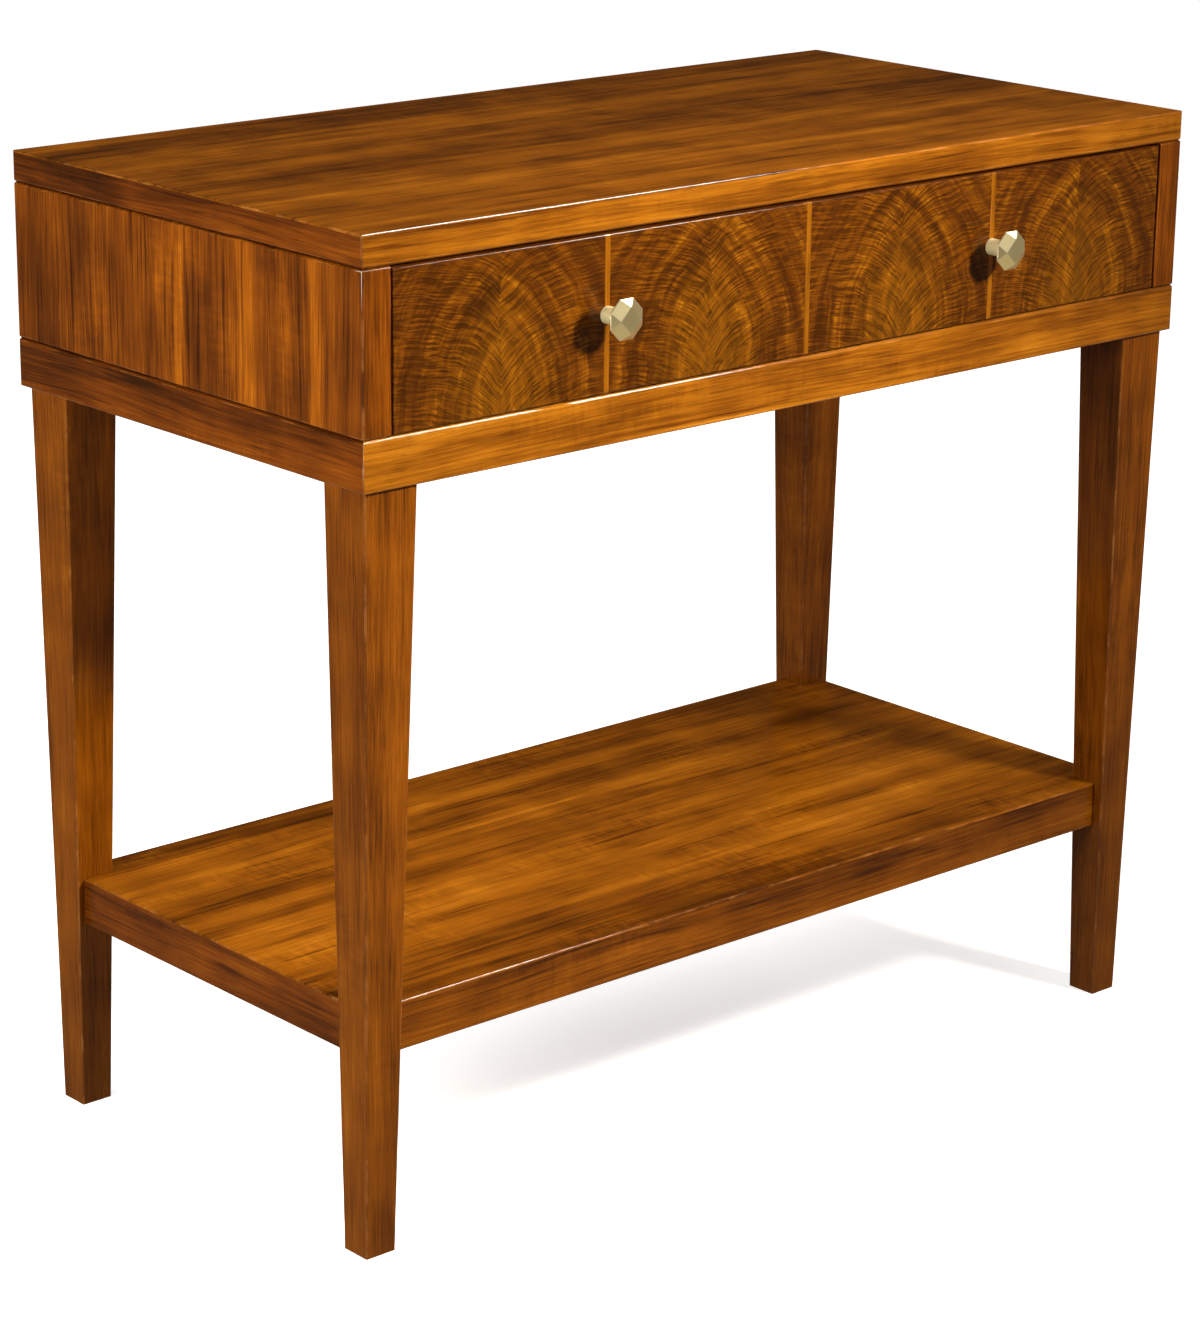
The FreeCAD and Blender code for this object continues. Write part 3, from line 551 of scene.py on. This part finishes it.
def crotch_veneer(name, middle, bottom, seed):
    """Feather-figured veneer: fibres that fall to the middle, crossed by pointed arches."""
    g = Graph(name)
    start = g.seeded(seed, CROTCH_SEED_STEP)
    x, _, z = g.split(g.place())
    periods, detail, roughness, _, shift = CROTCH_LAYERS["drift"]
    drift = g.noise(start, periods, detail, roughness, shift).outputs["Color"]
    drift_x, drift_z, _ = g.split(g.vector("SUBTRACT", drift, (HALF, HALF, HALF)))
    u = g.math("MULTIPLY_ADD", drift_x, DRIFT_ACROSS, g.math("SUBTRACT", x, middle))
    v = g.math("MULTIPLY_ADD", drift_z, DRIFT_UP, g.math("SUBTRACT", z, bottom))
    side = g.math("ABSOLUTE", u)
    half = g.math("SIGN", u)
    # fibres: v - reach * (1 - exp(side / FALL_LENGTH)) stays the same along each
    fall = g.math("SUBTRACT", 1.0, g.math("EXPONENT", g.math("DIVIDE", side, FALL_LENGTH)))
    reach = g.math("MULTIPLY_ADD", v, REACH_SLOPE, REACH)
    across = g.math("SUBTRACT", v, g.math("MULTIPLY", fall, reach))
    # arches: circles about two points, one each side of the middle line
    wide = g.math("ADD", side, ARCH_CENTRE)
    arch = g.math("SQRT", g.math("ADD", g.math("MULTIPLY", wide, wide), g.math("MULTIPLY", v, v)))
    turn = g.math("ARCTAN2", v, wide)
    arch_spot = g.join(arch, half, g.math("MULTIPLY", turn, TURN_LENGTH))
    steps = g.figure("steps", arch_spot, seed)
    bands = g.figure("bands", arch_spot, seed)
    slip = g.math("MULTIPLY", g.math("SUBTRACT", steps, HALF), SLIP)
    fibre_spot = g.join(g.math("ADD", across, slip), g.math("MULTIPLY", side, half),
                        g.math("MULTIPLY", arch, ARCH_STRETCH))
    line = g.figure("line", fibre_spot, seed)
    thread = g.figure("thread", fibre_spot, seed)
    strength = g.span(g.figure("strength", arch_spot, seed), *STRENGTH_SPAN)
    dark = g.math("MULTIPLY", g.span(line, *LINE_SPAN), strength)
    tone = g.weighted(HALF, (BAND_WEIGHT, bands), (STEP_WEIGHT, steps), (THREAD_WEIGHT, thread),
                      (LINE_WEIGHT, line))
    ground = tinted(g, g.ramp(tone, CROTCH_GROUND), arch)
    shade = g.blend(g.math("MULTIPLY", dark, LINE_SHARE), ground, CROTCH_DARK)
    knot = g.span(g.figure("knot", start, seed), *KNOT_SPAN)
    shade = g.blend(g.math("MULTIPLY", knot, KNOT_SHARE), shade, CROTCH_DARK)
    rough = g.weighted(CROTCH_ROUGH, (LINE_ROUGH, line), (STEP_ROUGH, steps))
    relief = g.math("SUBTRACT", g.math("MULTIPLY", thread, THREAD_RELIEF),
                    g.math("MULTIPLY", dark, LINE_RELIEF))
    return lacquered(g, shade, rough, relief, start, LACQUER, LACQUER)


def tinted(g, ground, arch):
    """Golden near the bottom middle, redder and darker towards the sides and the top corners."""
    near = g.span(arch, *NEAR_SPAN)
    far = g.span(arch, *FAR_SPAN)
    ground = g.blend(g.math("MULTIPLY", near, TINT_SHARE), ground, CROTCH_GOLD)
    return g.blend(g.math("MULTIPLY", far, TINT_SHARE), ground, CROTCH_RED)


def brass(name):
    """Satin pale brass, finely brushed and a little tarnished, with facet edges painted paler as a painted
    highlight, and a paler turned stem whose pale cream is a painted sheen.
    """
    g = Graph(name)
    place = g.place()
    brush = g.grey(place, BRUSH_SIZE)
    tarnish = g.grey(place, TARNISH_SIZE, detail=3.0, shift=4.0)
    tone = g.weighted(HALF, (BRUSH_TONE, brush), (TARNISH_TONE, tarnish))
    shade = g.ramp(tone, BRASS_TONES)
    # facet edges painted paler as a painted highlight
    shade = g.blend(g.math("MULTIPLY", g.edge(), EDGE_HIGHLIGHT_SHARE), shade, EDGE_HIGHLIGHT_COLOUR)
    stem = g.span(g.split(place)[1], STEM_END - STEM_FADE, STEM_END)
    # the stem painted pale cream: a painted sheen
    shade = g.blend(stem, shade, STEM_SHEEN_COLOUR)
    rough = g.weighted(BRASS_ROUGH, (BRUSH_ROUGH, brush), (TARNISH_ROUGH, tarnish))
    rough = g.math("MULTIPLY_ADD", stem, STEM_DULLER, rough)
    metal = g.math("MULTIPLY_ADD", stem, STEM_METAL, BRASS_METAL)
    return g.finish(Base_Color=shade, Metallic=metal, Roughness=rough, Normal=g.bump(brush, BRUSH_DEPTH))


def steel(name):
    """Zinc-plated steel with a dull, cloudy surface."""
    g = Graph(name)
    cloud = g.grey(g.place(), CLOUD_SIZE, detail=4.0, roughness=0.65)
    return g.finish(Base_Color=g.ramp(cloud, STEEL_TONES), Metallic=1.0,
                    Roughness=g.weighted(STEEL_ROUGH, (CLOUD_ROUGH, cloud)),
                    Normal=g.bump(cloud, CLOUD_DEPTH))


# ---- pieces: each CAD node again, with its free edges rounded ----
def clean_mesh(node):
    """A node's mesh with its corners joined and its flat faces whole."""
    bm = bmesh.new()
    bm.from_mesh(NODES[node].data)
    bmesh.ops.remove_doubles(bm, verts=bm.verts, dist=WELD)
    bmesh.ops.dissolve_limit(bm, angle_limit=FLAT_ANGLE, verts=bm.verts, edges=bm.edges)
    bm.normal_update()
    return bm


def surface_of(node):
    """A node's surface, for nearest-point questions."""
    mesh = NODES[node].data
    return BVHTree.FromPolygons([v.co for v in mesh.vertices], [p.vertices[:] for p in mesh.polygons])


SURFACES = {node: surface_of(node) for node in NODES}
BOXES = {node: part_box(node) for node in NODES}


def touched(point, own):
    """True where another node's surface meets this point."""
    for node, (low, high) in BOXES.items():
        if node == own or any(point[i] < low[i] - TOUCH or point[i] > high[i] + TOUCH for i in range(3)):
            continue
        if SURFACES[node].find_nearest(point, TOUCH)[0] is not None:
            return True
    return False


def free_edges(bm, node, shortest):
    """Long convex edges where no other node touches."""
    chosen = []
    for edge in bm.edges:
        if len(edge.link_faces) != 2 or edge.calc_length() < shortest or not edge.is_convex:
            continue
        if edge.calc_face_angle() < CORNER_ANGLE:
            continue
        a, b = (vert.co for vert in edge.verts)
        if not any(touched(a.lerp(b, share), node) for share in EDGE_SAMPLES):
            chosen.append(edge)
    return chosen


def mark_edges(bm):
    """Writes 1 on the corners of narrow faces and 0 elsewhere, as the attribute edge."""
    layer = bm.loops.layers.float.new("edge")
    for face in bm.faces:
        narrow = 2 * face.calc_area() / max(face.calc_perimeter(), 1e-9) < NARROW_FACE
        for loop in face.loops:
            loop[layer] = 1.0 if narrow else 0.0


def sharpen(bm):
    """Keeps the shading crisp across edges steeper than a rounded edge's steps."""
    bm.normal_update()
    for edge in bm.edges:
        edge.smooth = len(edge.link_faces) == 2 and edge.calc_face_angle() < CRISP_ANGLE


def rounded(node, material, width=ROUND_WOOD, shortest=SHORTEST_WOOD):
    """A piece that stands for one node, with its free edges rounded."""
    bm = clean_mesh(node)
    edges = free_edges(bm, node, shortest)
    if edges:
        bmesh.ops.bevel(bm, geom=edges, offset=width, segments=ROUND_STEPS, profile=ROUND_PROFILE,
                        affect="EDGES", clamp_overlap=True, loop_slide=True, material=-1)
    bmesh.ops.dissolve_degenerate(bm, edges=bm.edges, dist=SLIVER)
    bmesh.ops.recalc_face_normals(bm, faces=bm.faces)
    mark_edges(bm)
    sharpen(bm)
    mesh = bpy.data.meshes.new("piece_" + node)
    bm.to_mesh(mesh)
    bm.free()
    mesh.polygons.foreach_set("use_smooth", [True] * len(mesh.polygons))
    mesh.materials.append(material)
    piece = bpy.data.objects.new("piece_" + node, mesh)
    bpy.context.scene.collection.objects.link(piece)
    weigh = piece.modifiers.new("weigh", "WEIGHTED_NORMAL")
    weigh.keep_sharp = True
    weigh.weight = NORMAL_WEIGHT
    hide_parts(node)
    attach(piece, BODY_OF[node])


def repaint(node, material):
    """Gives a CAD node that stays as it is a better finish."""
    NODES[node].data.materials.clear()
    NODES[node].data.materials.append(material)


def build_frames():
    """The edges of the top and the shelf, and the base rails, side by side."""
    for side, palette, seed in SIDES:
        axis = "X" if side in LONG_SIDES else "Y"
        # ramps of painted light and shade along each top edge and base rail
        top_painted_light_slope, base_painted_light_slope = PAINTED_LIGHT_SLOPES[side]
        edge = wood("wood_top_edge_" + side, palette, axis, seed, painted_light_slope=top_painted_light_slope)
        rounded("top_lipping_" + side, edge)
        rail = wood("wood_base_" + side, palette, axis, seed + BASE_SEED, painted_light_slope=base_painted_light_slope)
        rounded("base_rail_" + side, rail)
        shelf_palette = "leg" if side in LONG_SIDES else "dark"
        shelf_edge = wood("wood_shelf_edge_" + side, shelf_palette, axis, seed + SHELF_SEED)
        rounded("shelf_lipping_" + side, shelf_edge)


def build_carcass():
    """The top, the shelf, the legs and the case."""
    rounded("top_veneer", wood("wood_top", "top", "X", seed=1.0, boards=top_boards, **TOP_GRAIN))
    repaint("top_core", wood("wood_top_core", "box", "X", seed=2.0, **SEALED))
    build_frames()
    rounded("shelf_veneer", wood("wood_shelf", "top", "X", seed=9.0, **SHELF_GRAIN))
    rounded("shelf_core", wood("wood_shelf_under", "top", "X", seed=10.0, **THIN_LACQUER))
    for index, leg in enumerate(LEGS):
        grain = wood("wood_leg_" + leg, "leg", "Z", LEG_SEED + index * LEG_SEED_STRIDE, **LEG_GRAIN)
        rounded("leg_" + leg, grain)
    for side, seed in (("left", 14.0), ("right", 15.0)):
        sheet = wood("wood_side_" + side, "side", "Z", seed, boards=side_boards, **SIDE_GRAIN)
        rounded("side_panel_" + side, sheet)
        rounded("front_stile_" + side, sheet)
    rounded("back_panel", wood("wood_back", "side", "Z", seed=16.0, **BACK_GRAIN))


def build_drawer_front():
    """The four matched veneers and the strings between them."""
    for index, panel in enumerate(PANELS):
        node = "drawer_veneer_" + panel
        low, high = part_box(node)
        middle = (low.x + high.x) / 2
        veneer = crotch_veneer("veneer_" + panel, middle, low.z, 1.0 + index * CROTCH_SEED_STRIDE)
        rounded(node, veneer)
    for index, name in enumerate(("left", "centre", "right")):
        strip = wood("wood_inlay_" + name, "inlay", "Z", INLAY_SEED + index, **INLAY_GRAIN)
        rounded("inlay_" + name, strip)


def build_drawer_and_fittings():
    """The drawer's box, what it runs on, the knobs and the fixings."""
    box_wood = wood("wood_drawer_box", "box", "Y", seed=33.0, **BOX_GRAIN)
    for node in ("drawer_side_left", "drawer_side_right"):
        rounded(node, box_wood)
    rounded("drawer_back", wood("wood_drawer_back", "box", "X", seed=37.0, **BOX_GRAIN))
    # the drawer front's core in the darker palette: finished like the outside, and dark as painted shade in
    # the gap above the drawer
    rounded("drawer_front_core", wood("wood_core", "dark", "X", seed=34.0, **THIN_LACQUER))
    ply = wood("wood_ply", "box", "Y", seed=35.0, **PLY_GRAIN)
    for node in ("drawer_bottom", "case_bottom"):
        rounded(node, ply)
    for node in RUNNING_PIECES:
        rounded(node, box_wood)
    for side in ("left", "right"):
        rounded("knob_" + side, brass("brass_" + side), ROUND_BRASS, SHORTEST_BRASS)
    plated = steel("steel")
    for node in SCREWS:
        repaint(node, plated)
    dowel = wood("wood_dowel", "box", "Z", seed=36.0, **BARE)
    for node in DOWELS:
        repaint(node, dowel)


# ---- studio ----
def flat_piece(name, mesh_maker, material):
    """A stage object from a mesh function."""
    bm = bmesh.new()
    mesh_maker(bm)
    mesh = bpy.data.meshes.new(name)
    bm.to_mesh(mesh)
    bm.free()
    mesh.materials.append(material)
    thing = bpy.data.objects.new(name, mesh)
    bpy.context.scene.collection.objects.link(thing)
    return thing


def disc(bm):
    """The floor's round plane."""
    bmesh.ops.create_circle(bm, cap_ends=True, segments=FLOOR_SIDES, radius=FLOOR_SIZE)


def dome(bm):
    """The backdrop's ball."""
    bmesh.ops.create_icosphere(bm, subdivisions=DOME_SPLITS, radius=FLOOR_SIZE * DOME_SHARE)


def glowing(name, albedo, glow, far_glow):
    """A pale surface lifted by a little light of its own, more so far from the table."""
    g = Graph(name)
    away = g.make("ShaderNodeVectorMath", {"operation": "LENGTH"})
    g.feed(away.inputs[0], g.place())
    lift = g.span(away.outputs["Value"], NEAR_FLOOR, FAR_FLOOR, glow, far_glow)
    speck = g.grey(g.place(), (SPECK_SIZE, SPECK_SIZE, SPECK_SIZE))
    dull, pale = ((value, value, value, 1.0) for value in (albedo * SPECK_SHADE, albedo))
    shade = g.ramp(speck, list(zip(SPECK_SPAN, (dull, pale))))
    return g.finish(Base_Color=shade, Roughness=STAGE_ROUGH, Specular_IOR_Level=0.0, Emission_Color=WHITE,
                    Emission_Strength=lift)


def build_world():
    """A dim warm surround, brighter below the horizon."""
    world = bpy.data.worlds.new("studio")
    world.use_nodes = True
    tree = world.node_tree
    tree.nodes.clear()
    place = tree.nodes.new("ShaderNodeTexCoord")
    split = tree.nodes.new("ShaderNodeSeparateXYZ")
    ramp = tree.nodes.new("ShaderNodeMapRange")
    background = tree.nodes.new("ShaderNodeBackground")
    background.inputs["Color"].default_value = WORLD_TINT
    output = tree.nodes.new("ShaderNodeOutputWorld")
    tree.links.new(place.outputs["Generated"], split.inputs[0])
    tree.links.new(split.outputs["Z"], ramp.inputs["Value"])
    limits = {"From Min": GROUND_DIP, "From Max": HORIZON, "To Min": GROUND_GLOW, "To Max": SKY}
    for key, number in limits.items():
        ramp.inputs[key].default_value = number
    tree.links.new(ramp.outputs[0], background.inputs["Strength"])
    tree.links.new(background.outputs[0], output.inputs[0])
    bpy.context.scene.world = world


def build_stage():
    """A pale floor and a pale backdrop, which light nothing and cast no shadow."""
    floor_paint = glowing("floor_paint", FLOOR_ALBEDO, FLOOR_GLOW, BACKDROP)
    backdrop_paint = glowing("backdrop_paint", 0.0, BACKDROP, BACKDROP)
    for thing in (flat_piece("floor", disc, floor_paint), flat_piece("backdrop", dome, backdrop_paint)):
        thing.visible_diffuse = False
        thing.visible_glossy = False
        thing.visible_shadow = False


def build_lights():
    """The lamps, each aimed at a point."""
    for name, (place, target, size, power, tint, spread) in LIGHTS.items():
        lamp = bpy.data.lights.new(name, "AREA")
        lamp.shape = "RECTANGLE"
        lamp.size, lamp.size_y = size
        lamp.energy = power
        lamp.color = tint
        lamp.spread = math.radians(spread)
        thing = bpy.data.objects.new("lamp_" + name, lamp)
        thing.location = place
        thing.rotation_euler = (Vector(target) - Vector(place)).to_track_quat("-Z", "Y").to_euler()
        thing.visible_glossy = name not in UNSEEN_IN_GLOSS
        thing.visible_diffuse = name not in ONLY_IN_GLOSS
        bpy.context.scene.collection.objects.link(thing)


def build_camera():
    """The camera at the given viewing angle."""
    camera = bpy.data.cameras.new("camera")
    camera.lens = LENS
    camera.sensor_width = SENSOR
    camera.sensor_fit = "AUTO"
    thing = bpy.data.objects.new("camera", camera)
    thing.location = CAMERA_PLACE
    thing.rotation_euler = Euler([math.radians(angle) for angle in CAMERA_TURN], "XYZ")
    bpy.context.scene.collection.objects.link(thing)
    bpy.context.scene.camera = thing


build_camera()
build_stage()
build_world()
build_lights()
build_carcass()
build_drawer_front()
build_drawer_and_fittings()
bpy.context.scene.view_settings.view_transform = "Standard"
